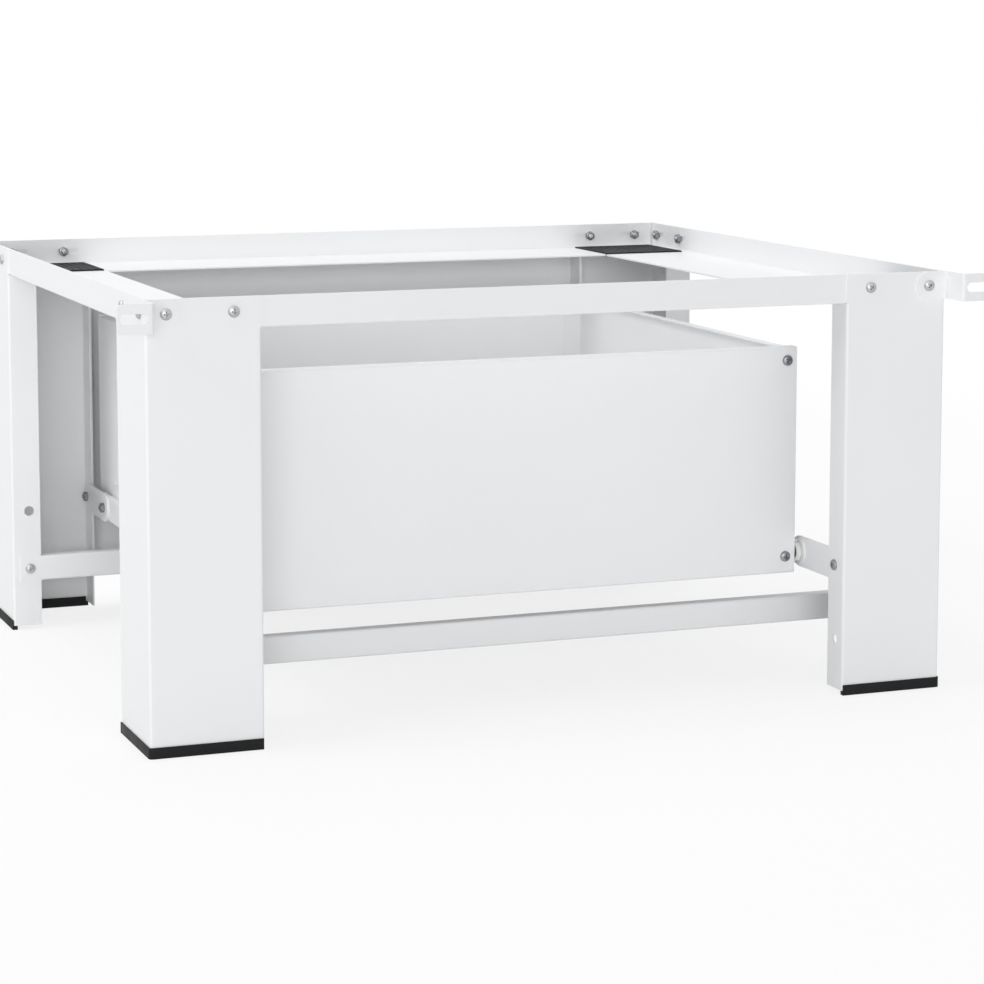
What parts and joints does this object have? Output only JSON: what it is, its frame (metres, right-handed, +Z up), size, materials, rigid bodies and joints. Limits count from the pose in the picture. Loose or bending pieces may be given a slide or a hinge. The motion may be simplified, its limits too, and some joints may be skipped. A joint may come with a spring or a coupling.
{
  "type": "laundry pedestal",
  "caption": "White steel laundry pedestal: folded legs, an open top frame with anti-slip pads and slotted strap brackets, and a plain drawer on roller runners.",
  "frame": {"origin": "on the floor, under the middle of the whole outline with the strap brackets", "axes": "+X to the right, +Y to the back, +Z up; the drawer opens along -Y"},
  "size_m": [0.65, 0.5484, 0.31],
  "materials": {
    "white_steel": "satin white powder coat",
    "white_runner": "smooth white epoxy coat",
    "black_rubber": "matt black rubber",
    "zinc_steel": "bright zinc plate",
    "nylon": "natural white nylon"
  },
  "bodies": {
    "frame": {"anti_slip_pad_front_left": "black_rubber", "anti_slip_pad_front_right": "black_rubber", "anti_slip_pad_rear_left": "black_rubber", "anti_slip_pad_rear_right": "black_rubber", "cabinet_roller_axles": "zinc_steel", "cabinet_runner_left": "white_runner", "cabinet_runner_right": "white_runner", "foot_cap_front_left": "black_rubber", "foot_cap_front_right": "black_rubber", "foot_cap_rear_left": "black_rubber", "foot_cap_rear_right": "black_rubber", "leg_front_left": "white_steel", "leg_front_right": "white_steel", "leg_rear_left": "white_steel", "leg_rear_right": "white_steel", "lower_bar_bolts": "zinc_steel", "lower_bar_front": "white_steel", "lower_bar_nuts": "zinc_steel", "lower_bar_rear": "white_steel", "rear_panel": "white_steel", "rear_panel_bolts": "zinc_steel", "rear_panel_nuts": "zinc_steel", "runner_end_bolts": "zinc_steel", "runner_link_bolts": "zinc_steel", "runner_link_front_left": "white_steel", "runner_link_front_right": "white_steel", "runner_link_rear_left": "white_steel", "runner_link_rear_right": "white_steel", "runner_nuts": "zinc_steel", "strap_bracket_bolts": "zinc_steel", "strap_bracket_left": "white_steel", "strap_bracket_right": "white_steel", "top_rail_bolts": "zinc_steel", "top_rail_front": "white_steel", "top_rail_left": "white_steel", "top_rail_nuts": "zinc_steel", "top_rail_rear": "white_steel", "top_rail_right": "white_steel"},
    "drawer": {"drawer_back": "white_steel", "drawer_back_nuts": "zinc_steel", "drawer_back_screws": "zinc_steel", "drawer_bottom": "white_steel", "drawer_bottom_rivets": "zinc_steel", "drawer_front": "white_steel", "drawer_front_nuts": "zinc_steel", "drawer_front_screws": "zinc_steel", "drawer_roller_pins": "zinc_steel", "drawer_runner_left": "white_runner", "drawer_runner_right": "white_runner", "drawer_runner_rivets": "zinc_steel", "drawer_side_left": "white_steel", "drawer_side_right": "white_steel"},
    "cabinet_roller_left": {"cabinet_roller_left": "nylon"},
    "cabinet_roller_right": {"cabinet_roller_right": "nylon"},
    "drawer_roller_left": {"drawer_roller_left": "nylon"},
    "drawer_roller_right": {"drawer_roller_right": "nylon"}
  },
  "joints": [
    {"name": "drawer_slide", "type": "slide", "parent": "frame", "child": "drawer", "axis": [0, -1, 0], "range_m": [0, 0.3]},
    {"name": "cabinet_roller_left_spin", "type": "hinge", "parent": "frame", "child": "cabinet_roller_left", "pos_m": [-0.218, -0.1752, 0.095], "axis": [1, 0, 0], "continuous": true},
    {"name": "drawer_roller_left_spin", "type": "hinge", "parent": "drawer", "child": "drawer_roller_left", "pos_m": [-0.2178, 0.1798, 0.0934], "axis": [1, 0, 0], "continuous": true},
    {"name": "cabinet_roller_right_spin", "type": "hinge", "parent": "frame", "child": "cabinet_roller_right", "pos_m": [0.218, -0.1752, 0.095], "axis": [1, 0, 0], "continuous": true},
    {"name": "drawer_roller_right_spin", "type": "hinge", "parent": "drawer", "child": "drawer_roller_right", "pos_m": [0.2178, 0.1798, 0.0934], "axis": [1, 0, 0], "continuous": true}
  ],
  "couplings": [
    {"joint": "cabinet_roller_left_spin", "follows": "drawer_slide", "rad_per_m": 135.14},
    {"joint": "drawer_roller_left_spin", "follows": "drawer_slide", "rad_per_m": 135.14},
    {"joint": "cabinet_roller_right_spin", "follows": "drawer_slide", "rad_per_m": 135.14},
    {"joint": "drawer_roller_right_spin", "follows": "drawer_slide", "rad_per_m": 135.14}
  ]
}
